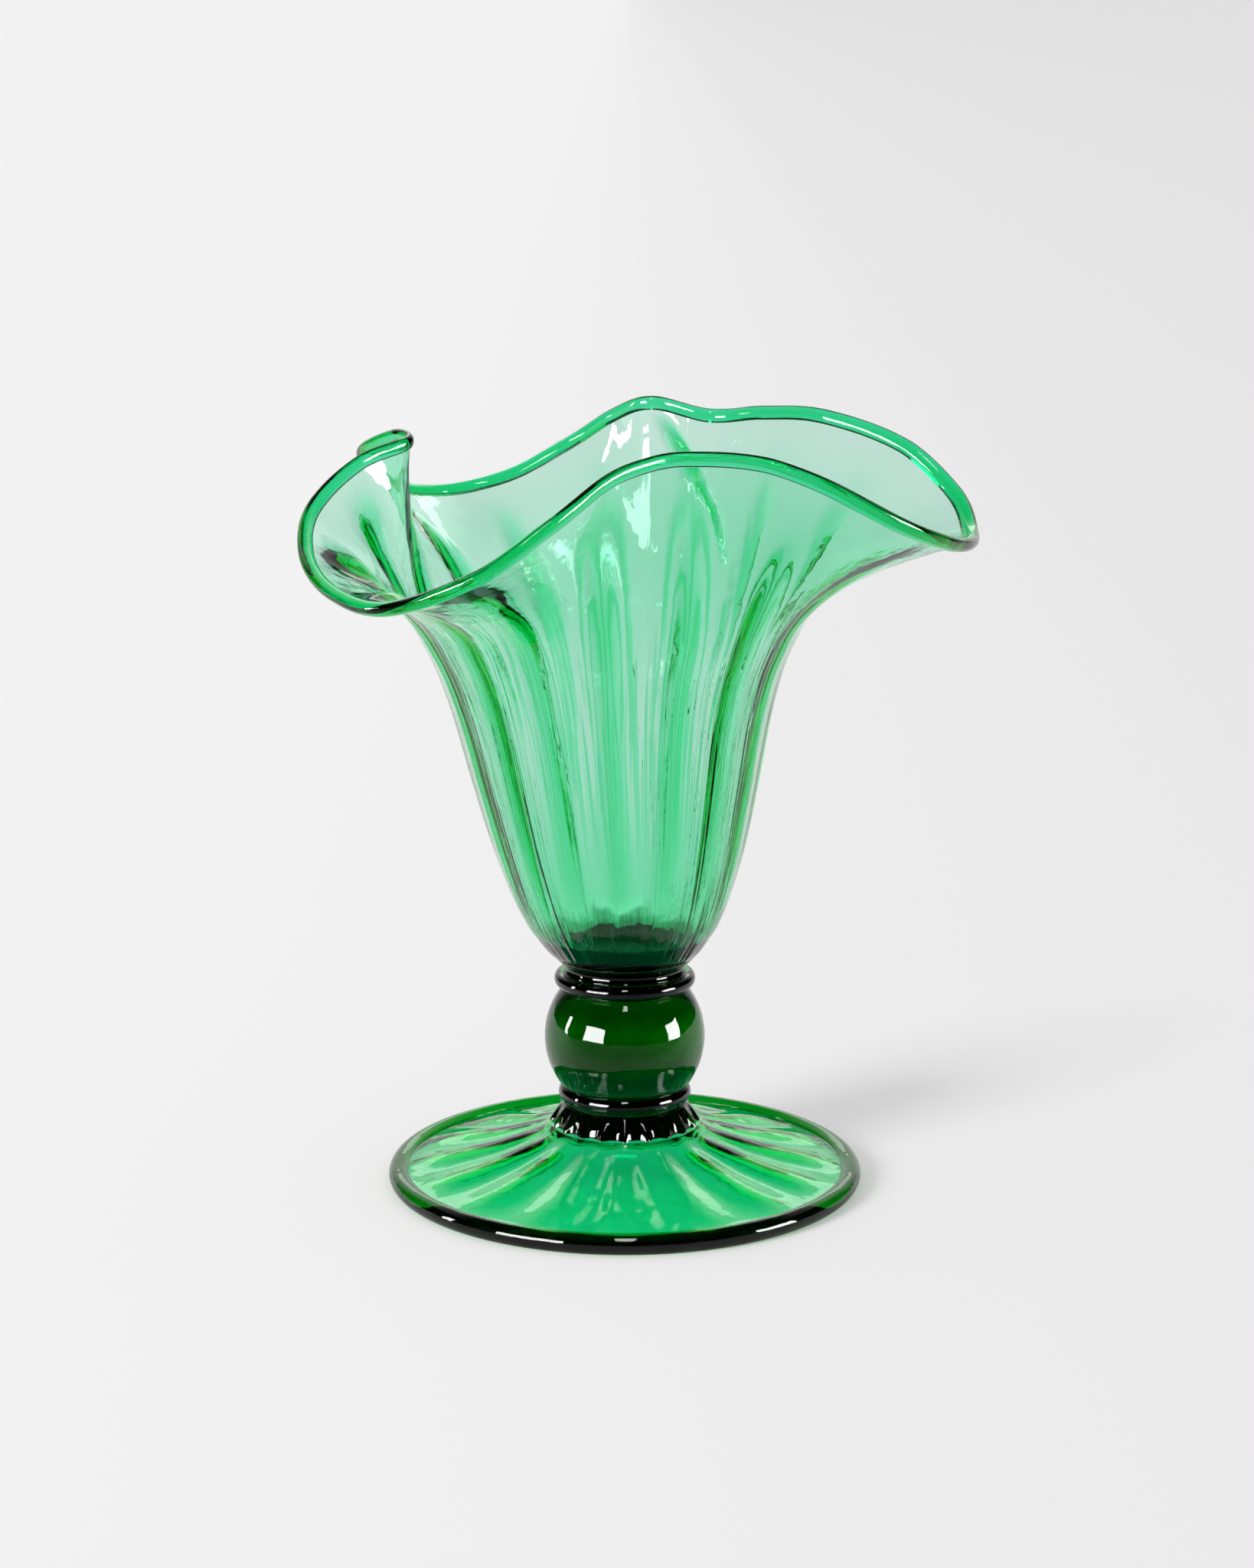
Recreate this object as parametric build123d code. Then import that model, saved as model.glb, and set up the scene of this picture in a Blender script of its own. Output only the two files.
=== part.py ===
from build123d import *
import os
from math import asin, cos, pi, radians, sin, sqrt

# Footed fan vase of hand-blown green glass: nine pieces joined hot on one upright stem.
# Millimetres, +Z up. The vase stands on z = 0, its front faces -Y and its right side +X.
# The origin lies under the middle of the ruffled outline, so the stem stands a little off it.
stem_x = -5.9
stem_y = 2.9

# Foot and its rolled edge
foot_radius = 75.5
roll_radius = 3.3
roll_flat = 0.15
roll_overlap = 2.8
foot_height = 19.4
foot_ribs = 16
foot_rib_height = 0.7
foot_wall = 6.8
# Sheet from crown to roll: share of the way out, of the drop, of the thickest wall, of the full rib
foot_rows = [
    (0.075, 0.21, 0.91, 0.3),
    (0.25, 0.47, 0.69, 1.0),
    (0.465, 0.685, 0.66, 1.0),
    (0.73, 0.875, 0.59, 1.0),
    (0.925, 0.98, 0.54, 0.3),
]
# Sheet under the crown: share of the crown's radius, of the thickest wall
crown_rows = [(0.2, 0.94), (0.6, 1.0)]

# Stem: collar, rings, knop and neck
joint_radius = 19.4
collar_height = 6.5
collar_radius = 22.2
collar_pinches = 20
pinch_depth = 1.4
lower_ring_radius = 21.1
lower_ring_height = 5.2
knop_radius = 25.5
knop_height = 33.1
upper_ring_radius = 22.4
upper_ring_height = 5.0
neck_height = 3.2
neck_waist = 0.7

# Bowl: its ribs swell the wall on both faces, and the whole bowl leans to the left
bowl_ribs = 16
rib_outside = 0.45
rib_inside = 0.9
bowl_lean = 0.05
bowl_wall = 4.6
floor_height = 5.5
floor_dish = 1.2
bowl_base_radius = 19.5
shoulder_radius = 59.5
shoulder_height = 106.7
# Body: share of the way out from base to shoulder, of the way up, of the thickest wall, of the full rib
bowl_rows = [
    (0.0, 0.0, 0.0, 0.0),
    (0.113, 0.033, 0.0, 0.1),
    (0.205, 0.079, 1.0, 0.3),
    (0.285, 0.126, 0.783, 0.6),
    (0.388, 0.219, 0.652, 0.9),
    (0.5, 0.359, 0.587, 1.0),
    (0.618, 0.544, 0.522, 1.0),
    (0.722, 0.717, 0.457, 1.0),
    (0.795, 0.818, 0.435, 1.0),
    (0.88, 0.909, 0.413, 1.0),
    (1.0, 1.0, 0.391, 1.0),
]
# Inner floor: share of the base radius, of the dish
floor_rows = [(0.31, 0.0), (0.72, 0.17), (1.0, 1.0)]
# Flare from the shoulder to the lip: share of the way, of the thickest wall, of the full rib
flare_rows = [
    (0.25, 0.37, 1.0),
    (0.5, 0.348, 1.0),
    (0.7, 0.326, 0.75),
    (0.85, 0.326, 0.2),
    (0.98, 0.326, 0.0),
]
flare_angle = 28.0
flare_reach = 0.33
lip_near = 61.5
lip_far = 116.0
lip_low = 128.5
lip_high = 171.0
# Ruffled lip, pulled by hand: bearing from the right round by the back, share of the way out, of the way up
lip_line = [
    (-68, 0.204, 0.979),
    (-52, 0.339, 0.922),
    (-44, 0.569, 0.772),
    (-30, 0.857, 0.405),
    (-15, 0.963, 0.209),
    (0, 1.0, 0.193),
    (11, 0.982, 0.424),
    (20, 0.798, 0.734),
    (34, 0.505, 0.932),
    (51, 0.437, 0.92),
    (65, 0.442, 0.866),
    (76, 0.16, 1.0),
    (87, 0.339, 0.856),
    (97, 0.626, 0.579),
    (108, 0.828, 0.296),
    (120, 0.899, 0.193),
    (134, 0.771, 0.329),
    (146, 0.596, 0.635),
    (155, 0.183, 0.847),
    (165, 0.0, 0.842),
    (177, 0.229, 0.734),
    (193, 0.541, 0.447),
    (208, 0.725, 0.188),
    (224, 0.872, 0.012),
    (237, 0.96, 0.0),
    (252, 0.938, 0.266),
    (262, 0.743, 0.588),
    (272, 0.431, 0.859),
    (282, 0.253, 0.958),
]
lip_radius = 1.45

# Heights where the pieces meet
lower_ring_z = foot_height + collar_height
knop_z = lower_ring_z + lower_ring_height
upper_ring_z = knop_z + knop_height
neck_z = upper_ring_z + upper_ring_height
bowl_z = neck_z + neck_height


def ring(points):
    steps = [i / len(points) for i in range(len(points) + 1)]
    return Wire([Edge.make_spline(points, periodic=True, parameters=steps)])


def skin(rows, ruled=False):
    return Shell.make_loft([ring(row) for row in rows], ruled).faces()


def round_row(radius, height, bearings):
    return [Vector(radius * cos(b), radius * sin(b), height) for b in bearings]


def swell(bearing, number):
    return (1 + cos(number * bearing)) / 2


def turned(outline):
    return revolve(make_face(outline), Axis.Z)


def rounded_disc(radius, z, height):
    flat = radius - height / 2
    edge = ThreePointArc((flat, 0, z), (radius, 0, z + height / 2), (flat, 0, z + height))
    return turned(edge + Polyline((flat, 0, z + height), (0, 0, z + height), (0, 0, z), (flat, 0, z)))


# Foot: a ribbed trumpet of glass, hollow below, with a flat crown as wide as the collar
roll_z = roll_radius - roll_flat
roll_centre = foot_radius - roll_radius
foot_seat = roll_centre - roll_overlap
seat_half = sqrt(roll_radius**2 - roll_overlap**2)
crown_radius = collar_radius + pinch_depth
drop = foot_height - roll_z - seat_half
around = [2 * pi * i / (foot_ribs * 6) for i in range(foot_ribs * 6)]
upper = [round_row(crown_radius, foot_height, around)]
under = []
for share, wall in crown_rows:
    under.append(round_row(crown_radius * share, foot_height - foot_wall * wall, around))
for out, down, wall, rib in foot_rows:
    radius = crown_radius + (foot_seat - crown_radius) * out
    height = foot_height - drop * down
    row = round_row(radius, height, around)
    lift = [foot_rib_height * rib * swell(b, foot_ribs) for b in around]
    upper.append([spot + Vector(0, 0, up) for spot, up in zip(row, lift)])
    under.append(round_row(radius, height - foot_wall * wall, around))
upper.append(round_row(foot_seat, roll_z + seat_half, around))
under.append(round_row(foot_seat, roll_z - seat_half, around))
faces = skin(upper) + skin(under) + skin([upper[-1], under[-1]], ruled=True)
faces += [Face(ring(upper[0])), Face(ring(under[0]))]
foot = Solid(Shell(faces))

# Rolled edge of the foot, flat underneath where it stands
roll = Torus(roll_centre, roll_radius).moved(Pos(0, 0, roll_z))
roll -= Cylinder(foot_seat, 4 * roll_radius)
foot_roll = roll - Pos(0, 0, -roll_radius) * Cylinder(2 * foot_radius, 2 * roll_radius)

# Crimped collar: a wrap of glass pinched all round against the foot
around = [2 * pi * i / (collar_pinches * 8) for i in range(collar_pinches * 8)]
rows = []
for share in (0, 0.3, 0.65, 1):
    base = collar_radius + (joint_radius - collar_radius) * share**1.5
    pinch = pinch_depth * (1 - share)
    rows.append(
        [
            Vector(cos(b), sin(b), 0) * (base + pinch * swell(b, collar_pinches) ** 2)
            + Vector(0, 0, foot_height + share * collar_height)
            for b in around
        ]
    )
crimped_collar = Solid.make_loft([ring(row) for row in rows])

# Two rings with the solid ball knop between them, and the short neck above
lower_ring = rounded_disc(lower_ring_radius, lower_ring_z, lower_ring_height)
upper_ring = rounded_disc(upper_ring_radius, upper_ring_z, upper_ring_height)
knop_foot = (joint_radius, 0, knop_z)
knop_head = (joint_radius, 0, upper_ring_z)
belly = ThreePointArc(knop_foot, (knop_radius, 0, knop_z + knop_height / 2), knop_head)
knop = turned(belly + Polyline(knop_head, (0, 0, upper_ring_z), (0, 0, knop_z), knop_foot))
neck_foot = (joint_radius, 0, neck_z)
neck_head = (bowl_base_radius, 0, bowl_z)
waist = ThreePointArc(neck_foot, (joint_radius - neck_waist, 0, neck_z + neck_height / 2), neck_head)
neck = turned(waist + Polyline(neck_head, (0, 0, bowl_z), (0, 0, neck_z), neck_foot))

# Bowl surface before the ribs: one closed row of points at each height
count = bowl_ribs * 6
around = [2 * pi * i / count for i in range(count)]


def lip_at(bearing):
    reach = lip_far - lip_near
    rise = lip_high - lip_low
    stops = [(b, Vector(lip_near + reach * out, lip_low + rise * up, 0)) for b, out, up in lip_line]
    before = [(b - 360, v) for b, v in stops[-2:]]
    after = [(b + 360, v) for b, v in stops[:2]]
    stops = before + stops + after
    turn = lip_line[0][0] + (bearing * 180 / pi - lip_line[0][0]) % 360
    k = max(i for i in range(len(stops) - 2) if stops[i][0] <= turn)
    (b0, v0), (b1, v1), (b2, v2), (b3, v3) = stops[k - 1 : k + 3]
    leave = (v2 - v0) * ((b2 - b1) / (b2 - b0))
    arrive = (v3 - v1) * ((b2 - b1) / (b3 - b1))
    t = (turn - b1) / (b2 - b1)
    ends = v1 * (2 * t**3 - 3 * t**2 + 1) + v2 * (3 * t**2 - 2 * t**3)
    return ends + leave * (t**3 - 2 * t**2 + t) + arrive * (t**3 - t**2)


def placed(bearing, radius, height):
    x = radius * cos(bearing) - bowl_lean * height
    return Vector(x, radius * sin(bearing), bowl_z + height)


def flared(bearing, share):
    end = lip_at(bearing)
    start = Vector(shoulder_radius, shoulder_height, 0)
    reach = (end - start).length * flare_reach
    bend = start + Vector(sin(radians(flare_angle)), cos(radians(flare_angle)), 0) * reach
    spot = start * (1 - share) ** 2 + bend * 2 * share * (1 - share) + end * share**2
    return placed(bearing, spot.X, spot.Y)


middle = []
for out, up, wall, rib in bowl_rows:
    radius = bowl_base_radius + (shoulder_radius - bowl_base_radius) * out
    middle.append([placed(b, radius, shoulder_height * up) for b in around])
middle += [[flared(b, share) for b in around] for share, wall, rib in flare_rows]
walls = [bowl_wall * row[-2] for row in bowl_rows + flare_rows]
ribs = [row[-1] for row in bowl_rows + flare_rows]


def along(row, i):
    return middle[row][(i + 1) % count] - middle[row][i - 1]


def outward(row, i):
    rise = middle[min(row + 1, len(middle) - 1)][i] - middle[max(row - 1, 0)][i]
    return along(row, i).cross(rise).normalized()


def wall_row(row, depth, rib):
    push = [rib * ribs[row] * swell(b, bowl_ribs) - depth for b in around]
    return [middle[row][i] + outward(row, i) * push[i] for i in range(count)]


# Bowl: outer and inner faces, floor, underside and the edge that carries the lip
outer = [middle[0]] + [wall_row(k, 0, rib_outside) for k in range(1, len(middle))]
inner = []
for out, up in floor_rows:
    inner.append([placed(b, bowl_base_radius * out, floor_height + floor_dish * up) for b in around])
inner += [wall_row(k, walls[k], -rib_inside) for k in range(2, len(middle))]
faces = skin(outer) + skin(inner) + skin([outer[-1], inner[-1]], ruled=True)
faces += [Face(ring(outer[0])), Face(ring(inner[0]))]
bowl = Solid(Shell(faces))

# Lip: a round bead of glass laid along the edge of the wall
half_wall = walls[-1] / 2
under_turn = asin(sqrt(lip_radius**2 - half_wall**2) / lip_radius)
rows = [outer[-1]]
for k in range(1, 9):
    turn = -under_turn + (pi + 2 * under_turn) * k / 9
    row = []
    for i in range(count):
        out = outward(len(middle) - 1, i)
        up = out.cross(along(len(middle) - 1, i)).normalized()
        centre = (outer[-1][i] + inner[-1][i]) / 2 + up * (lip_radius * sin(under_turn))
        row.append(centre + (out * cos(turn) + up * sin(turn)) * lip_radius)
    rows.append(row)
rows.append(inner[-1])
lip_wrap = Solid(Shell(skin(rows) + skin([outer[-1], inner[-1]], ruled=True)))

pieces = {
    "bowl": bowl,
    "lip_wrap": lip_wrap,
    "neck": neck,
    "upper_ring": upper_ring,
    "knop": knop,
    "lower_ring": lower_ring,
    "crimped_collar": crimped_collar,
    "foot": foot,
    "foot_roll": foot_roll,
}
os.makedirs("parts", exist_ok=True)
for name, piece in pieces.items():
    export_step(piece.moved(Pos(stem_x, stem_y, 0)), f"parts/{name}.step")
    print(name, piece.is_valid, round(piece.volume, 1))
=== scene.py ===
from math import asin, cos, degrees, pi, radians, sin

import bpy
import numpy as np
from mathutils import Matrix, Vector


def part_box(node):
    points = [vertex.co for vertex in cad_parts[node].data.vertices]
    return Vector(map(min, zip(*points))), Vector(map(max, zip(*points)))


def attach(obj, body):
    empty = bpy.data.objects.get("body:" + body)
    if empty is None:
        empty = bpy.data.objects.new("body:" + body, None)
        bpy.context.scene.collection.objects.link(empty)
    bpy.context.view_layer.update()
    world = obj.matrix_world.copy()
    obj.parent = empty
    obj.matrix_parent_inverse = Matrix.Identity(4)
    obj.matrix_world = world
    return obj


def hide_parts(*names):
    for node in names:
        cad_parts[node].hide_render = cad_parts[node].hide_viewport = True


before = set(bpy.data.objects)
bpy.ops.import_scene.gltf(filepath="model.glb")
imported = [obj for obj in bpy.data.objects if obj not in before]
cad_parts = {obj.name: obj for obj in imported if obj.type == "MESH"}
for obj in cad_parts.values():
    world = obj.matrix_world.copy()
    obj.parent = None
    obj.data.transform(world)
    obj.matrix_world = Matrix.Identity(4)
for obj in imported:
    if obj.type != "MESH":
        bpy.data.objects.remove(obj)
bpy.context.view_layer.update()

# Foot: a sheet of hot green glass pressed over a ribbed mould into a low trumpet, hollow below.
# It is clear glass that darkens with depth. Its crown carries the collar and its edge the roll.
mm = 0.001
fused = 0.15 * mm
knop_low, knop_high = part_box("knop")
stem = (knop_low + knop_high) / 2
foot_low, foot_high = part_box("foot")
foot_seat = (foot_high.x - foot_low.x) / 2
seat_low = foot_low.z
seat_high = 4.9 * mm
crown_radius = 23.6 * mm
crown_z = foot_high.z
foot_wall = 6.8 * mm
foot_ribs = 16
foot_rib_height = 1.5 * mm
foot_rib_under = 0.75
# Sheet from crown to roll: share of the way out, of the drop, of the thickest wall, of the full rib
foot_rows = [
    (0.0, 0.0, 0.7, 0.0),
    (0.075, 0.21, 0.62, 0.3),
    (0.25, 0.47, 0.56, 1.0),
    (0.465, 0.685, 0.53, 1.0),
    (0.73, 0.875, 0.5, 1.0),
    (0.925, 0.98, 0.5, 0.3),
]
# Hollow under the crown: share of the crown's radius, of the thickest wall
crown_rows = [(0.05, 0.15), (0.45, 0.16), (0.68, 0.24), (0.85, 0.38)]


def smooth_rows(rows, spans):
    """A smooth line through rows of numbers, each span between two rows cut in equal steps."""
    knots = np.array(rows, float)
    knots = np.vstack([2 * knots[0] - knots[1], knots, 2 * knots[-1] - knots[-2]])
    line = []
    for a, b, c, d in zip(knots, knots[1:], knots[2:], knots[3:]):
        for t in np.arange(spans) / spans:
            lean = (c - a) * t + (2 * a - 5 * b + 4 * c - d) * t**2 + (3 * b - a - 3 * c + d) * t**3
            line.append(b + lean / 2)
    return np.array(line + [knots[-2]])


def swell(bearing, number):
    return (1 + np.cos(number * bearing)) / 2


def ring(bearing, radius, height):
    """One closed row of points round the stem."""
    spots = np.stack([radius * np.cos(bearing), radius * np.sin(bearing), 0 * bearing + height], axis=1)
    return spots + np.array([stem.x, stem.y, 0])


weld_gap = 1e-7
crease = radians(50)


def close_up(piece):
    """Weld the seam, fill the open ends, and turn all faces outwards."""
    bpy.ops.object.mode_set(mode="EDIT")
    bpy.ops.mesh.select_all(action="SELECT")
    bpy.ops.mesh.remove_doubles(threshold=weld_gap)
    bpy.ops.mesh.select_all(action="DESELECT")
    bpy.ops.mesh.select_non_manifold()
    bpy.ops.mesh.fill_holes(sides=0)
    bpy.ops.mesh.select_all(action="SELECT")
    bpy.ops.mesh.normals_make_consistent(inside=False)
    bpy.ops.object.mode_set(mode="OBJECT")
    bpy.ops.object.shade_smooth_by_angle(angle=crease)
    return piece


def wrap(name, rows):
    """Lay a flat grid round the stem, one of its lines on each ring of points."""
    count = len(rows[0])
    bpy.ops.object.select_all(action="DESELECT")
    bpy.ops.mesh.primitive_grid_add(x_subdivisions=count, y_subdivisions=len(rows) - 1)
    piece = bpy.context.object
    piece.name = name
    spots = np.stack([np.vstack([row, row[:1]]) for row in rows])
    piece.data.vertices.foreach_set("co", spots.astype(np.float32).ravel())
    piece.data.update()
    return close_up(piece)


def feed(tree, socket, term):
    """Set a socket to a plain value, or link it to the socket that its value comes from."""
    if isinstance(term, bpy.types.NodeSocket):
        tree.links.new(term, socket)
    else:
        socket.default_value = term


def reckon(tree, operation, *terms):
    """The result of one sum on numbers and sockets."""
    node = tree.nodes.new("ShaderNodeMath")
    node.operation = operation
    for socket, term in zip(node.inputs, terms):
        feed(tree, socket, term)
    return node.outputs["Value"]


def graded(tree, value, first, last, low=0.0, high=1.0, steps="SMOOTHSTEP"):
    """A value that goes from low to high while another one goes from first to last."""
    node = tree.nodes.new("ShaderNodeMapRange")
    node.interpolation_type = steps
    terms = {"Value": value, "From Min": first, "From Max": last, "To Min": low, "To Max": high}
    for label, term in terms.items():
        feed(tree, node.inputs[label], term)
    return node.outputs["Result"]


def mixed(tree, share, first, last):
    """A colour that lies this share of the way from the first to the last."""
    node = tree.nodes.new("ShaderNodeMix")
    node.data_type = "RGBA"
    for label, term in (("Factor", share), ("A", first), ("B", last)):
        feed(tree, node.inputs[label], term)
    return node.outputs["Result"]


def parted(tree, vector):
    """The three parts of a place or a direction."""
    node = tree.nodes.new("ShaderNodeSeparateXYZ")
    tree.links.new(vector, node.inputs["Vector"])
    return node.outputs


def noise(tree, vector, scale):
    node = tree.nodes.new("ShaderNodeTexNoise")
    node.inputs["Scale"].default_value = scale
    node.inputs["Detail"].default_value = 2.0
    tree.links.new(vector, node.inputs["Vector"])
    return node.outputs["Fac"]


cord_scale = (15, 15, 4)
cords_fade_from = 150 * mm
cords_fade_to = 200 * mm
cords_left = 0.1
ripple_scale = 90.0
cord_tint = (0.95, 1.0, 0.97, 1)
plain_tint = (1.0, 1.0, 1.0, 1)
# Painted shade in the glass: how wide its edge fades, and how dark the surface colour gets
painted_shade_fade = 9 * mm
painted_shade_darkest = 0.12
worn_roughness = 0.6
mark_height = 0.9 * mm


def blown_glass():
    """Marks of hand work in clear glass: cords up the wall, a soft ripple and a worn foot; and painted shade
    that darkens the surface colour outside a band.
    """
    group = bpy.data.node_groups.new("blown_glass", "ShaderNodeTree")
    face = group.interface
    labels = ("Cords", "Ripple", "Wear Height", "Unshaded Middle", "Unshaded Half")
    for label, value in zip(labels, (1.0, 1.0, 0.0, 0.0, 1.0)):
        face.new_socket(label, in_out="INPUT", socket_type="NodeSocketFloat").default_value = value
    face.new_socket("Tint", in_out="OUTPUT", socket_type="NodeSocketColor")
    face.new_socket("Roughness", in_out="OUTPUT", socket_type="NodeSocketFloat")
    face.new_socket("Height", in_out="OUTPUT", socket_type="NodeSocketFloat")
    link = group.links.new
    start = group.nodes.new("NodeGroupInput").outputs
    end = group.nodes.new("NodeGroupOutput").inputs
    place = group.nodes.new("ShaderNodeTexCoord").outputs
    unrolled = parted(group, place["UV"])
    bearing = reckon(group, "MULTIPLY", unrolled["X"], 2 * pi)
    round_wall = group.nodes.new("ShaderNodeCombineXYZ")
    link(reckon(group, "COSINE", bearing), round_wall.inputs["X"])
    link(reckon(group, "SINE", bearing), round_wall.inputs["Y"])
    link(unrolled["Y"], round_wall.inputs["Z"])
    stretch = group.nodes.new("ShaderNodeMapping")
    stretch.inputs["Scale"].default_value = cord_scale
    link(round_wall.outputs["Vector"], stretch.inputs["Vector"])
    cords = noise(group, stretch.outputs["Vector"], 1.0)
    ripple = noise(group, place["Object"], ripple_scale)
    height = parted(group, place["Object"])["Z"]

    faded = graded(group, height, cords_fade_from, cords_fade_to, 1.0, cords_left, "LINEAR")
    cord_height = reckon(group, "MULTIPLY", cords, reckon(group, "MULTIPLY", start["Cords"], faded))
    link(reckon(group, "MULTIPLY_ADD", ripple, start["Ripple"], cord_height), end["Height"])

    # Painted shade: away from a band of given middle and half height the surface colour darkens, its edge
    # streaked by the ripple
    off_band = reckon(group, "ABSOLUTE", reckon(group, "SUBTRACT", height, start["Unshaded Middle"]))
    streaked = reckon(group, "MULTIPLY_ADD", ripple, painted_shade_fade, off_band)
    band_end = reckon(group, "ADD", start["Unshaded Half"], painted_shade_fade)
    cord_tint_and_painted_shade = group.nodes.new("ShaderNodeVectorMath")
    cord_tint_and_painted_shade.operation = "SCALE"
    link(mixed(group, cords, cord_tint, plain_tint), cord_tint_and_painted_shade.inputs[0])
    link(graded(group, streaked, start["Unshaded Half"], band_end, 1.0, painted_shade_darkest), cord_tint_and_painted_shade.inputs["Scale"])
    link(cord_tint_and_painted_shade.outputs["Vector"], end["Tint"])

    worn = graded(group, height, 0.0, start["Wear Height"], worn_roughness, 0.0, "LINEAR")
    link(worn, end["Roughness"])
    return group


glass_marks_and_shade = blown_glass()


def green_glass(name, taken, cords, ripple, wear=0.05 * mm, clear=(0.0, 1.0)):
    """Clear green glass, by how fast a millimetre of it takes out red, green and blue light."""
    glass = bpy.data.materials.new(name)
    glass.use_nodes = True
    nodes, link = glass.node_tree.nodes, glass.node_tree.links.new
    face = nodes["Principled BSDF"]
    face.inputs["IOR"].default_value = 1.5
    face.inputs["Transmission Weight"].default_value = 1.0
    marks_and_shade = nodes.new("ShaderNodeGroup")
    marks_and_shade.node_tree = glass_marks_and_shade
    marks_and_shade.inputs["Cords"].default_value = cords
    marks_and_shade.inputs["Ripple"].default_value = ripple
    marks_and_shade.inputs["Wear Height"].default_value = wear
    # Outside the band given here the surface colour is darkened as painted shade
    marks_and_shade.inputs["Unshaded Middle"].default_value = clear[0]
    marks_and_shade.inputs["Unshaded Half"].default_value = clear[1]
    link(marks_and_shade.outputs["Tint"], face.inputs["Base Color"])
    link(marks_and_shade.outputs["Roughness"], face.inputs["Roughness"])
    relief = nodes.new("ShaderNodeBump")
    relief.inputs["Strength"].default_value = 1.0
    relief.inputs["Distance"].default_value = mark_height
    link(marks_and_shade.outputs["Height"], relief.inputs["Height"])
    link(relief.outputs["Normal"], face.inputs["Normal"])
    depth = nodes.new("ShaderNodeVolumeAbsorption")
    depth.inputs["Color"].default_value = [1 - light / max(taken) for light in taken] + [1]
    depth.inputs["Density"].default_value = max(taken) / mm
    link(depth.outputs["Volume"], nodes["Material Output"].inputs["Volume"])
    return glass


def hand_over(piece, node, glass):
    """Give a finished piece its glass, and let it stand for the solid of the same name."""
    piece.data.materials.clear()
    piece.data.materials.append(glass)
    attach(piece, "root")
    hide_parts(node)


rib_steps = 24
foot_spans = 8
around = np.linspace(0, 2 * pi, foot_ribs * rib_steps, endpoint=False)
foot_rows.append((1.0, 1.0, (seat_high - seat_low) / foot_wall, 0.0))
upper = []
under = []
for out, down, wall, rib in smooth_rows(foot_rows, foot_spans):
    radius = crown_radius + (foot_seat - crown_radius) * out
    height = crown_z - (crown_z - seat_high) * down
    lift = foot_rib_height * rib * swell(around, foot_ribs)
    upper.append(ring(around, radius, height + lift))
    under.append(ring(around, radius, height + foot_rib_under * lift - foot_wall * wall))
upper = [ring(around, crown_radius * share, crown_z) for share in (0.05, 0.5, 0.9)] + upper
upper.append(ring(around, foot_seat + fused, seat_high))
under.append(ring(around, foot_seat + fused, seat_low))
crown = [ring(around, crown_radius * share, crown_z - foot_wall * wall) for share, wall in crown_rows]
foot = wrap("foot_glass", upper + (crown + under)[::-1])
hand_over(foot, "foot", green_glass("foot_green", (0.95, 0.025, 0.2), 0.0, 0.4))

# Foot roll: the edge of the foot folded back on itself into a fat round rim while it was hot.
# The vase stands on its flat underside, which is worn dull in a narrow ring.
roll_low, roll_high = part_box("foot_roll")
roll_outside = (roll_high.x - roll_low.x) / 2
roll_radius = 3.3 * mm
roll_z = roll_high.z - roll_radius
turn_steps = 288
roll_steps = 40
flat_steps = 12


def arc(centre_r, centre_z, radius, first, last, steps):
    """Points on an arc of an outline, with its angles in degrees up from the outward direction."""
    turns = [radians(first + (last - first) * k / steps) for k in range(steps + 1)]
    return [(centre_r + radius * cos(a), centre_z + radius * sin(a)) for a in turns]


def turn(name, outline):
    """Draw an outline of radius and height point by point, and spin it once round the stem."""
    bpy.ops.object.select_all(action="DESELECT")
    bpy.ops.mesh.primitive_plane_add(size=mm)
    piece = bpy.context.object
    piece.name = name
    bpy.ops.object.mode_set(mode="EDIT")
    bpy.ops.mesh.merge(type="CENTER")
    spot = Vector((0, 0, 0))
    for step, (radius, height) in enumerate(outline):
        move = stem.xy.to_3d() + Vector((radius, 0, height)) - spot
        if step == 0:
            bpy.ops.transform.translate(value=move)
        else:
            bpy.ops.mesh.extrude_vertices_move(TRANSFORM_OT_translate={"value": move})
        spot += move
    bpy.ops.mesh.select_all(action="SELECT")
    bpy.ops.mesh.spin(steps=turn_steps, angle=2 * pi, center=stem.xy.to_3d(), axis=(0, 0, 1))
    bpy.ops.object.mode_set(mode="OBJECT")
    return close_up(piece)


roll_centre = roll_outside - roll_radius
seat_angle = 180 - degrees(asin((seat_high - roll_z) / roll_radius))
flat_angle = degrees(asin(roll_z / roll_radius))
outline = arc(roll_centre, roll_z, roll_radius, seat_angle, -flat_angle, roll_steps)
outline += arc(roll_centre, roll_z, roll_radius, flat_angle - 180, -seat_angle, flat_steps)
roll = turn("foot_roll_glass", outline + outline[:1])
roll_wear = 0.6 * mm
# The roll's glass is denser than the bowl's so that it looks near black: partly its own colour, partly
# painted shade
hand_over(roll, "foot_roll", green_glass("foot_roll_green", (1.4, 0.14, 0.6), 0.0, 0.2, roll_wear))

# Crimped collar: a wrap of glass laid round the foot of the stem and pinched all round with pincers.
# Each pinch pulls a drop of glass down on to the crown of the foot.
collar_low, collar_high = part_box("crimped_collar")
joint_radius = 19.4 * mm
collar_radius = 22.2 * mm
pinches = 20
pinch_depth = 1.8 * mm
collar_rows = 16
collar_curve = 1.5
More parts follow.
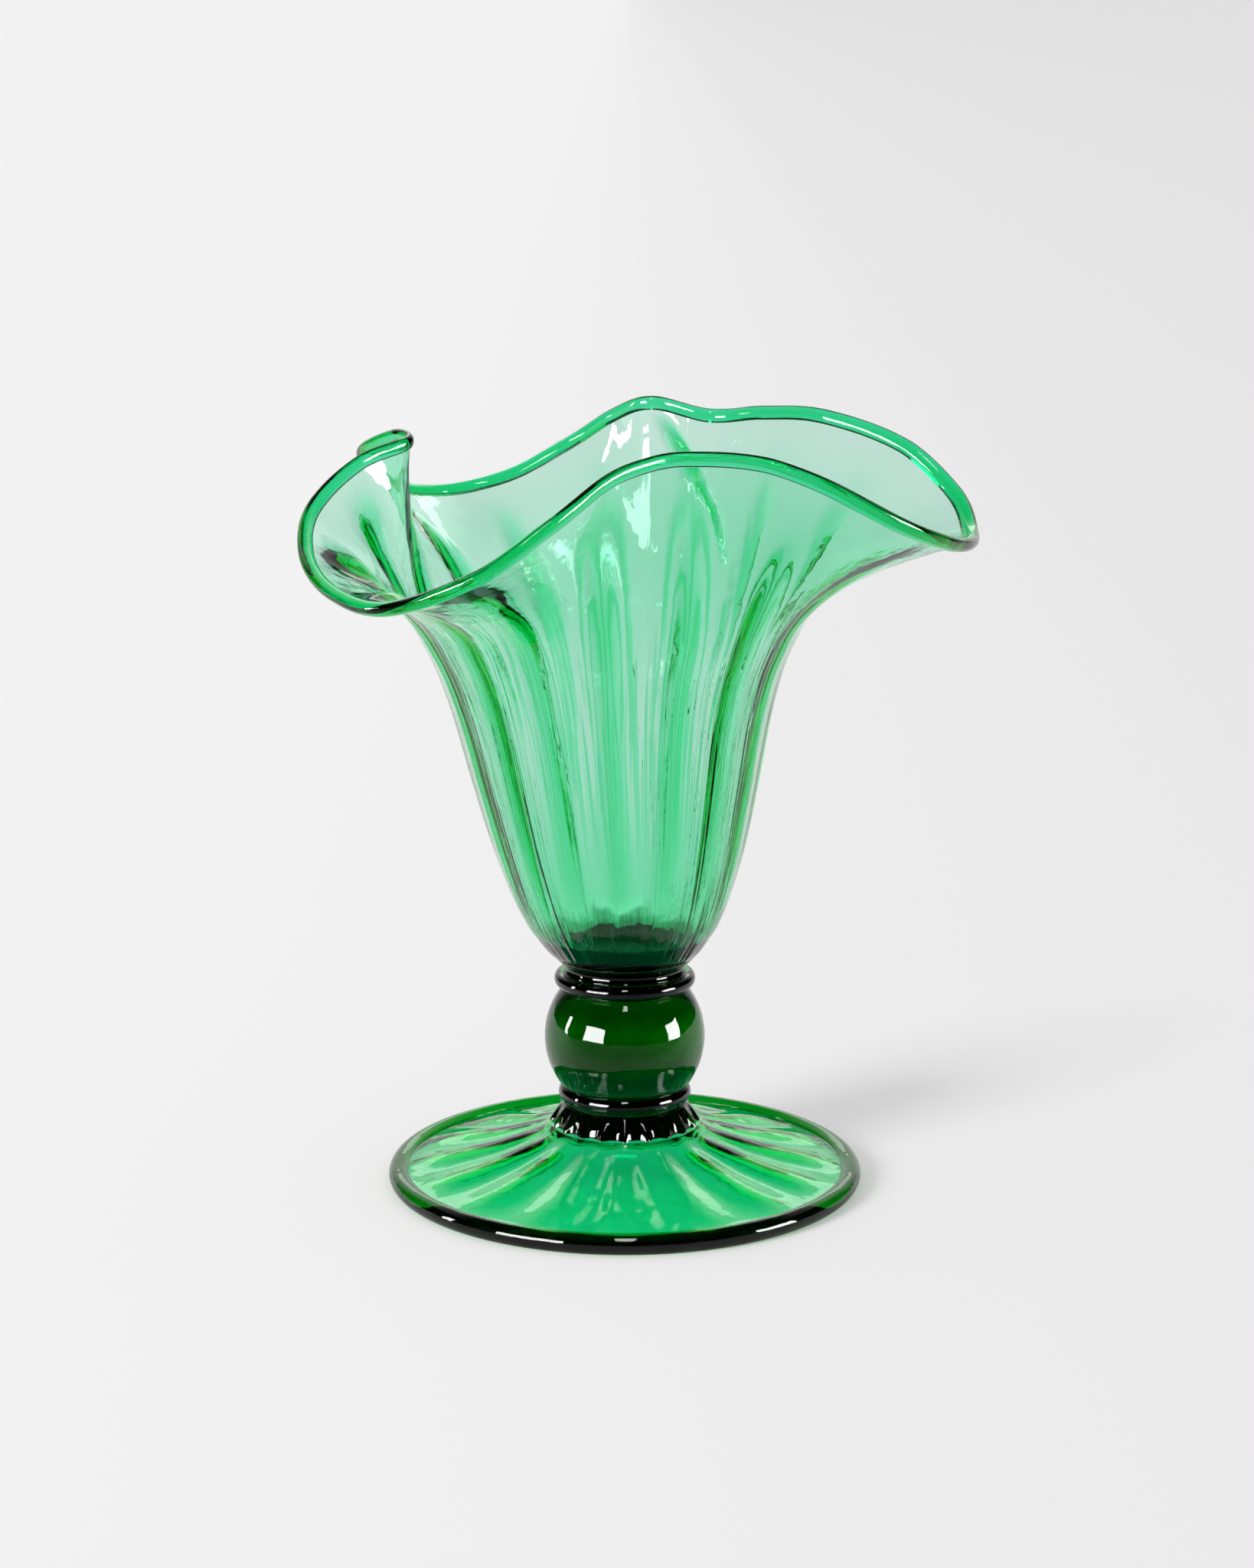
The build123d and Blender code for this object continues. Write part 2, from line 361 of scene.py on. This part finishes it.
# Glass of the collar and rings: the same green, made far denser than the bowl's so they look near black;
# partly its own colour, partly painted shade
stem_glass_and_painted_shade = (1.2, 0.14, 0.5)
around = np.linspace(0, 2 * pi, pinches * rib_steps, endpoint=False)
rows = [ring(around, collar_radius * share, collar_low.z - fused) for share in (0.05, 0.95)]
for share in np.linspace(0, 1, collar_rows):
    radius = collar_radius + (joint_radius - collar_radius) * share**collar_curve
    radius = radius + pinch_depth * (1 - share) * swell(around, pinches) ** 2
    rows.append(ring(around, radius, collar_low.z + (collar_high.z - collar_low.z) * share))
rows += [ring(around, joint_radius * share, collar_high.z + fused) for share in (0.98, 0.05)]
collar = wrap("crimped_collar_glass", rows)
hand_over(collar, "crimped_collar", green_glass("collar_green", stem_glass_and_painted_shade, 0.0, 0.3))

# Lower ring: a trail of glass wound once round the stem under the ball and melted smooth.
# It is fused to the collar below and to the ball above, and laps up on to the ball.
ring_lap = 1.6 * mm
ring_steps = 32


def ring_outline(node, lapped):
    """A disc with a half-round edge, as wide as the solid of that name, and lapped up by so much."""
    low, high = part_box(node)
    half = (high.z - low.z + lapped) / 2
    flat = (high.x - low.x) / 2 - half
    return [(0, low.z)] + arc(flat, low.z + half, half, -90, 90, ring_steps) + [(0, high.z + lapped)]


lower_ring = turn("lower_ring_glass", ring_outline("lower_ring", ring_lap))
hand_over(lower_ring, "lower_ring", green_glass("lower_ring_green", stem_glass_and_painted_shade, 0.0, 0.2))

# Knop: the solid ball of the stem, gathered and shaped in a wet wooden block.
# So much glass is in it that it looks nearly black-green, and above and below its middle its surface colour
# is darkened as painted shade. It is fused to a ring at each end.
knop_radius = (knop_high.x - knop_low.x) / 2
knop_steps = 64
lap = 0.25 * mm
knop_half = (knop_high.z - knop_low.z) / 2 + lap
knop_turn = degrees(asin(knop_half / knop_radius))
outline = [(0, stem.z - knop_half)]
outline += arc(0, stem.z, knop_radius, -knop_turn, knop_turn, knop_steps)
outline += [(0, stem.z + knop_half)]
knop = turn("knop_glass", outline)
# Band round the ball where the surface colour is left as it is; above and below it, it is darkened as
# painted shade for the dark the ball shows there: height of the band's middle, half its width
knop_unshaded_band = (stem.z + 1.5 * mm, 6.5 * mm)
hand_over(knop, "knop", green_glass("knop_green", (0.5, 0.04, 0.2), 0.0, 0.4, clear=knop_unshaded_band))

# Upper ring: the same trail of glass above the ball, a little wider than the lower one.
# It is fused to the ball below and to the neck above.
upper_ring = turn("upper_ring_glass", ring_outline("upper_ring", 0))
hand_over(upper_ring, "upper_ring", green_glass("upper_ring_green", stem_glass_and_painted_shade, 0.0, 0.2))

# Neck: the short bit of glass that joins the bowl to the stem, drawn in a little at its waist.
# It is solid, and fused to the upper ring and to the underside of the bowl.
neck_low, neck_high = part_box("neck")
neck_waist = 0.7 * mm
neck_rows = 13
# Button of the neck inside the base of the bowl: radius and height above the joint, in millimetres
neck_button = [(20.7, 0.35), (21.9, 1.4), (22.2, 2.4), (21.9, 3.8), (21.3, 5.2), (20.2, 5.8)]
neck_button += [(17.5, 4.4), (14.0, 2.9), (10.0, 1.6), (5.0, 0.8), (0.0, 0.6)]
bowl_base = (neck_high.x - neck_low.x) / 2
outline = [(0, neck_low.z - fused), (joint_radius, neck_low.z - fused)]
for share in np.linspace(0, 1, neck_rows):
    radius = joint_radius + (bowl_base - joint_radius) * share - neck_waist * sin(pi * share)
    outline.append((radius, neck_low.z + (neck_high.z - neck_low.z) * share))
outline += [(radius * mm, neck_high.z + up * mm) for radius, up in neck_button]
neck = turn("neck_glass", outline)
# The neck's glass is made much denser than the bowl's, so the base of the bowl looks dark: partly its own
# colour, partly painted shade
hand_over(neck, "neck", green_glass("neck_green", (3.0, 0.4, 1.2), 0.0, 0.2))

# Bowl: blown into a ribbed mould, opened, and its rim pulled and folded by hand into three deep ruffles.
# The ribs swell the wall on both faces and fade out in drops below the lip. It leans a little to the left.
bowl_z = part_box("bowl")[0].z
bowl_ribs = 16
rib_outside = 0.8 * mm
rib_inside = 1.4 * mm
rib_width = 6.5 * mm
rib_close = 3.33
bowl_lean = 0.05
bowl_wall = 4.6 * mm
floor_height = 1.2 * mm
floor_dish = 5.2 * mm
shoulder_radius = 59.5 * mm
shoulder_height = 106.7 * mm
# Body: share of the way out from base to shoulder, of the way up, of the thickest wall, of the full rib
bowl_rows = [
    (0.0, 0.0, 0.45, 0.0),
    (0.113, 0.033, 0.45, 0.0),
    (0.205, 0.079, 0.42, 0.0),
    (0.285, 0.126, 0.4, 0.03),
    (0.388, 0.219, 0.36, 0.2),
    (0.5, 0.359, 0.23, 0.75),
    (0.618, 0.544, 0.16, 1.0),
    (0.722, 0.717, 0.15, 1.0),
    (0.795, 0.818, 0.15, 1.0),
    (0.88, 0.909, 0.165, 1.0),
    (1.0, 1.0, 0.19, 1.0),
]
# Inner floor: share of the base radius, of the dish
floor_rows = [(0.02, 0.0), (0.25, 0.04), (0.5, 0.19), (0.7, 0.44), (0.875, 0.73), (1.0, 1.0)]
# Flare from the shoulder to the lip: share of the way, of the thickest wall, of the full rib
flare_rows = [
    (0.0, 0.19, 1.0),
    (0.25, 0.23, 1.0),
    (0.42, 0.24, 0.85),
    (0.55, 0.24, 0.6),
    (0.67, 0.23, 0.35),
    (0.77, 0.21, 0.15),
    (0.86, 0.19, 0.03),
    (0.93, 0.17, 0.0),
    (0.98, 0.17, 0.0),
]
# Drops at the ends of the ribs in the left lobe: bearing and spread, share of the way and spread
drop_bearing = radians(212)
drop_sweep = radians(38)
drop_way = 0.75
drop_length = 0.13
drop_height = 3.0 * mm
drop_width = 0.4
# Fold at the back, doubled when it was pinched: bearing at mid-way and its turn, spread, height,
# and the shares of the way over which it grows and fades
fold_bearing = radians(60)
fold_turn = radians(15)
fold_spread = radians(1.5)
fold_height = 6.0 * mm
fold_from = 0.25
fold_growth = 0.3
fold_to = 0.97
fold_fade = 0.13
flare_angle = radians(28)
flare_reach = 0.33
lip_near = 61.5 * mm
lip_far = 116.0 * mm
lip_low = 128.5 * mm
lip_high = 171.0 * mm
# Ruffled lip: bearing from the right round by the back, share of the way out, of the way up
lip_line = [
    (-68, 0.204, 0.979),
    (-52, 0.339, 0.922),
    (-44, 0.569, 0.772),
    (-30, 0.857, 0.405),
    (-15, 0.963, 0.209),
    (0, 1.0, 0.193),
    (11, 0.982, 0.424),
    (20, 0.798, 0.734),
    (34, 0.505, 0.932),
    (51, 0.437, 0.92),
    (65, 0.442, 0.866),
    (76, 0.16, 1.0),
    (87, 0.339, 0.856),
    (97, 0.626, 0.579),
    (108, 0.828, 0.296),
    (120, 0.899, 0.193),
    (134, 0.771, 0.329),
    (146, 0.596, 0.635),
    (155, 0.183, 0.847),
    (165, 0.0, 0.842),
    (177, 0.229, 0.734),
    (193, 0.541, 0.447),
    (208, 0.725, 0.188),
    (224, 0.872, 0.012),
    (237, 0.96, 0.0),
    (252, 0.938, 0.266),
    (262, 0.743, 0.588),
    (272, 0.431, 0.859),
    (282, 0.253, 0.958),
]
lip_tuck = 1.9 * mm
lip_swell = 0.25
pinch = radians(72)
pinch_crowding = 0.45
bowl_steps = 26
body_spans = 5
flare_spans = 6
floor_spans = 6
steps = np.linspace(0, 2 * pi, bowl_ribs * bowl_steps, endpoint=False)
around = steps - pinch_crowding * np.sin(steps - pinch)


def lip_at(bearing):
    """Radius and height of the lip at one bearing, on a smooth line through its points."""
    stops = np.array(lip_line, float)
    turn_back = np.array([360, 0, 0])
    stops = np.vstack([stops[-2:] - turn_back, stops, stops[:2] + turn_back])
    here = lip_line[0][0] + (np.degrees(bearing) - lip_line[0][0]) % 360
    k = np.searchsorted(stops[2:-2, 0], here, side="right") + 1
    (b0, *v0), (b1, *v1), (b2, *v2), (b3, *v3) = stops[k - 1 : k + 3]
    v0, v1, v2, v3 = (np.array(v) for v in (v0, v1, v2, v3))
    leave = (v2 - v0) * ((b2 - b1) / (b2 - b0))
    arrive = (v3 - v1) * ((b2 - b1) / (b3 - b1))
    t = (here - b1) / (b2 - b1)
    ends = v1 * (2 * t**3 - 3 * t**2 + 1) + v2 * (3 * t**2 - 2 * t**3)
    out, up = ends + leave * (t**3 - 2 * t**2 + t) + arrive * (t**3 - t**2)
    return lip_near + (lip_far - lip_near) * out, lip_low + (lip_high - lip_low) * up


def leaning(radius, height):
    """A row of the bowl at this radius and height above its base."""
    spots = ring(around, radius, bowl_z + height)
    spots[:, 0] -= bowl_lean * height
    return spots


lip_radii, lip_heights = np.array([lip_at(b) for b in around]).T
flare_length = np.hypot(lip_radii - shoulder_radius, lip_heights - shoulder_height)
bend = flare_length * flare_reach
lip_size = 1 + lip_swell * (lip_radii - lip_near) / (lip_far - lip_near)
wall_end = 1 - lip_tuck * lip_size / flare_length
face = []
radii = []
walls = []
ribs = []
ways = []
for out, up, wall, rib in smooth_rows(bowl_rows, body_spans):
    radii.append(bowl_base + (shoulder_radius - bowl_base) * out + 0 * around)
    face.append(leaning(radii[-1], shoulder_height * up))
    walls.append(wall * bowl_wall)
    ribs.append(rib)
    ways.append(0.0)
for share, wall, rib in smooth_rows(flare_rows, flare_spans)[1:]:
    ways.append(share)
    share = share * wall_end
    start, middle, end = (1 - share) ** 2, 2 * share * (1 - share), share**2
    radius = shoulder_radius * (start + middle) + bend * sin(flare_angle) * middle + lip_radii * end
    height = shoulder_height * (start + middle) + bend * cos(flare_angle) * middle + lip_heights * end
    radii.append(radius)
    face.append(leaning(radius, height))
    walls.append(wall * bowl_wall)
    ribs.append(max(rib, 0.0))
face = np.array(face)
along = np.roll(face, -1, axis=1) - np.roll(face, 1, axis=1)
outward = np.cross(along, np.gradient(face, axis=0))
outward /= np.linalg.norm(outward, axis=2, keepdims=True)
narrow = np.maximum(1, (rib_close * np.array(radii) / (bowl_ribs * rib_width)) ** 2)
rib_shape = swell(around, bowl_ribs) ** narrow
rib_swell = (np.array(ribs)[:, None] * rib_shape)[:, :, None]


def hump(distance, spread):
    return np.exp(-((distance / spread) ** 2))


def turned_from(bearing):
    """Angle of every point from a bearing, the short way round."""
    return np.angle(np.exp(1j * (around - bearing)))


ways = np.array(ways)[:, None]
drop = hump(turned_from(drop_bearing), drop_sweep) * hump(ways - drop_way, drop_length)
drop = rib_shape**drop_width * drop
fold = hump(turned_from(fold_bearing + fold_turn * 2 * (ways - 0.5)), fold_spread)
fold = fold * np.clip((ways - fold_from) / fold_growth, 0, 1) * np.clip((fold_to - ways) / fold_fade, 0, 1)
lumps = drop_height * drop + fold_height * fold
thick = np.array(walls)[:, None, None] + rib_inside * rib_swell + lumps[:, :, None]
outside = face + outward * rib_outside * rib_swell
inside = face - outward * thick
floor = [leaning(bowl_base * out + 0 * around, floor_height + floor_dish * up) for out, up in floor_rows]
# The floor runs out into the inner wall at this row
first_inside = 10
joined = np.array(floor + [inside[first_inside]])
floor = smooth_rows(joined.reshape(len(joined), -1), floor_spans)[:-1].reshape(-1, *joined.shape[1:])
rim_up = np.cross(outward[-1], along[-1])
rim_up /= np.linalg.norm(rim_up, axis=1, keepdims=True)
base = [leaning(bowl_base * share + 0 * around, 0.0) for share in (0.02, 0.5)]
rows = base + list(outside) + [outside[-1] + rim_up * fused, inside[-1] + rim_up * fused]
rows += list(inside[first_inside:][::-1]) + list(floor[::-1])
bowl = wrap("bowl_glass", rows)
# Painted shade: the surface colour is darkened at the base, for the dark stem seen through it, and left as
# it is from just above the base: height of the unshaded part's middle, half its height
bowl_unshaded_band = (bowl_z + 210 * mm, 204 * mm)
hand_over(bowl, "bowl", green_glass("bowl_green", (0.46, 0.032, 0.2), 1.0, 0.3, clear=bowl_unshaded_band))

# Lip wrap: the edge of the wall, fire-polished until the glass drew up into a round bead.
# It runs unbroken along every ruffle and is fused to the wall below it.
bead_tall = 2.2 * mm
bead_thick = 1.45 * mm
bead_steps = 26
lip_tall = bead_tall * lip_size[:, None]
lip_thick = bead_thick * lip_size[:, None] ** 2
half_wall = np.linalg.norm(outside[-1] - inside[-1], axis=1, keepdims=True) / 2
under_turn = np.arccos(half_wall / lip_thick)
middle = (outside[-1] + inside[-1]) / 2 + rim_up * lip_tall * np.sin(under_turn)
rows = [outside[-1]]
for share in np.linspace(0, 1, bead_steps)[1:-1]:
    turned = -under_turn + (pi + 2 * under_turn) * share
    rows.append(middle + outward[-1] * np.cos(turned) * lip_thick + rim_up * np.sin(turned) * lip_tall)
rows += [inside[-1], outside[-1]]
lip = wrap("lip_wrap_glass", rows)
# Thin clear glass throws next to no shadow on the floor
for thin in (bowl, lip):
    thin.visible_shadow = False
    thin.visible_diffuse = False
hand_over(lip, "lip_wrap", green_glass("lip_green", (0.85, 0.07, 0.31), 0.0, 0.2))

# Stage: a plain pale floor that runs back out of sight, and soft studio light.
# The glass is seen against a pale backdrop, and mirrors the dark room in front of it and above.
floor_half = 60.0
floor_gap = 0.02 * mm
floor_left = (0.785, 0.779, 0.783, 1)
floor_right_painted_shade = (0.66, 0.654, 0.658, 1)
floor_glow = 0.32
# Painted shade for light falling off to the right: the floor colour darkens to the right: share of the reach
# where that starts and ends, and half the reach in metres
right_from = -0.3
right_to = 0.9
right_reach = 0.5
# Mirrored in the glass, the floor in front of the vase is dim: where that starts and is full, in metres
floor_dim = (0.2, 0.2, 0.2, 1)
dim_from = 0.05
dim_to = -0.15
half_bounce = 0.5


def glass_rays(tree):
    """Which rays reach the studio by way of the glass, and which of those were mirrored in it."""
    path = tree.nodes.new("ShaderNodeLightPath").outputs
    unscattered = reckon(tree, "LESS_THAN", path["Diffuse Depth"], half_bounce)
    in_glass = reckon(tree, "MULTIPLY", path["Is Glossy Ray"], unscattered)
    return in_glass, reckon(tree, "GREATER_THAN", path["Glossy Depth"], half_bounce)


bpy.ops.object.select_all(action="DESELECT")
bpy.ops.mesh.primitive_plane_add(size=2 * floor_half, location=(0, 0, -floor_gap))
table = bpy.context.object
table.name = "floor"
paper = bpy.data.materials.new("pale_floor")
paper.use_nodes = True
tree = paper.node_tree
surface = tree.nodes["Principled BSDF"].inputs
surface["Roughness"].default_value = 0.9
surface["Specular IOR Level"].default_value = 0.0
surface["Emission Strength"].default_value = floor_glow
spot = parted(tree, tree.nodes.new("ShaderNodeTexCoord").outputs["Object"])
reach = reckon(tree, "ADD", reckon(tree, "ABSOLUTE", spot["X"]), right_reach)
right = graded(tree, reckon(tree, "DIVIDE", spot["X"], reach), right_from, right_to, steps="LINEAR")
in_glass, mirrored = glass_rays(tree)
in_front = graded(tree, spot["Y"], dim_from, dim_to, steps="LINEAR")
dim = reckon(tree, "MULTIPLY", reckon(tree, "MULTIPLY", in_glass, mirrored), in_front)
# Floor colour: pale, darkened to the right as painted shade, and dim where mirrored in the glass
shade = mixed(tree, dim, mixed(tree, right, floor_left, floor_right_painted_shade), floor_dim)
tree.links.new(shade, surface["Base Color"])
tree.links.new(shade, surface["Emission Color"])
table.data.materials.append(paper)

# Studio: even light on the floor, and for rays by way of the glass a pale backdrop and a dark room.
# The room shows high above, and in mirrored rays also in front and at the sides, by parts of the direction
even_light = 0.57
backdrop_pale = (0.86, 0.853, 0.857, 1)
room_dark = (0.01, 0.01, 0.01, 1)
above_edges = (0.5, 0.8)
front_edges = (0.5, 0.15)
side_edges = (0.4, 0.75)
studio = bpy.data.worlds.new("studio")
bpy.context.scene.world = studio
studio.use_nodes = True
tree = studio.node_tree
even = tree.nodes["Background"]
even.inputs["Color"].default_value = (1, 0.992, 0.996, 1)
even.inputs["Strength"].default_value = even_light
sky = parted(tree, tree.nodes.new("ShaderNodeTexCoord").outputs["Generated"])
in_glass, mirrored = glass_rays(tree)
above = graded(tree, sky["Z"], *above_edges)
in_front = graded(tree, sky["Y"], *front_edges)
aside = graded(tree, reckon(tree, "ABSOLUTE", sky["X"]), *side_edges)
unlit = reckon(tree, "MULTIPLY", reckon(tree, "MAXIMUM", in_front, aside), mirrored)
room = reckon(tree, "MAXIMUM", unlit, above)
backdrop = tree.nodes.new("ShaderNodeBackground")
tree.links.new(mixed(tree, room, backdrop_pale, room_dark), backdrop.inputs["Color"])
either = tree.nodes.new("ShaderNodeMixShader")
tree.links.new(in_glass, either.inputs["Fac"])
tree.links.new(even.outputs["Background"], either.inputs[1])
tree.links.new(backdrop.outputs["Background"], either.inputs[2])
tree.links.new(either.outputs["Shader"], tree.nodes["World Output"].inputs["Surface"])
aim_height = 90 * mm
lamp_reach = 4.0


def face_vase(lamp_object, bearing, rise):
    """Set a lamp out at a bearing, from straight in front towards the right, and turn it to the vase."""
    turned, lifted = radians(bearing), radians(rise)
    aim = Vector((sin(turned) * cos(lifted), -cos(turned) * cos(lifted), sin(lifted)))
    lamp_object.location = Vector((stem.x, stem.y, aim_height)) + aim * lamp_reach
    lamp_object.rotation_euler = aim.to_track_quat("Z", "Y").to_euler()
    bpy.context.scene.collection.objects.link(lamp_object)


# Softboxes that mirror in the glass: bearing, height of the line of sight, width, height, watts
for name, bearing, rise, wide, tall, watts in (
    ("key_softbox", -46, 10, 2.45, 1.55, 260),
    ("right_softbox", 76, 6, 1.7, 1.7, 190),
    ("left_strip", -92, 6, 0.4, 1.6, 40),
    ("high_softbox", 180, 24, 3.2, 0.7, 9),
    ("top_softbox", 0, 62, 0.5, 2.2, 36),
):
    lamp = bpy.data.lights.new(name, "AREA")
    lamp.shape = "RECTANGLE"
    lamp.size = wide
    lamp.size_y = tall
    lamp.energy = watts
    softbox = bpy.data.objects.new(name, lamp)
    softbox.visible_diffuse = False
    softbox.visible_transmission = name == "top_softbox"
    face_vase(softbox, bearing, rise)

# Key on the floor: an even slanting light that only throws the soft shadow to the right
lamp = bpy.data.lights.new("floor_key", "SUN")
lamp.energy = 2.0
lamp.angle = radians(20)
floor_key = bpy.data.objects.new("floor_key", lamp)
floor_key.visible_glossy = False
floor_key.visible_transmission = False
face_vase(floor_key, -46, 24)

# Camera: a good metre off and above the lip, with a long lens that looks a little down on the vase
camera = bpy.data.objects.new("camera", bpy.data.cameras.new("camera"))
bpy.context.scene.collection.objects.link(camera)
camera.location = (-5.18 * mm, -1121.8 * mm, 378.7 * mm)
camera.rotation_euler = (radians(77.5), 0, 0)
camera.data.lens = 84.375
camera.data.sensor_width = 36
camera.data.clip_start = 0.01
camera.data.clip_end = 200
bpy.context.scene.camera = camera
bpy.context.scene.view_settings.view_transform = "Standard"
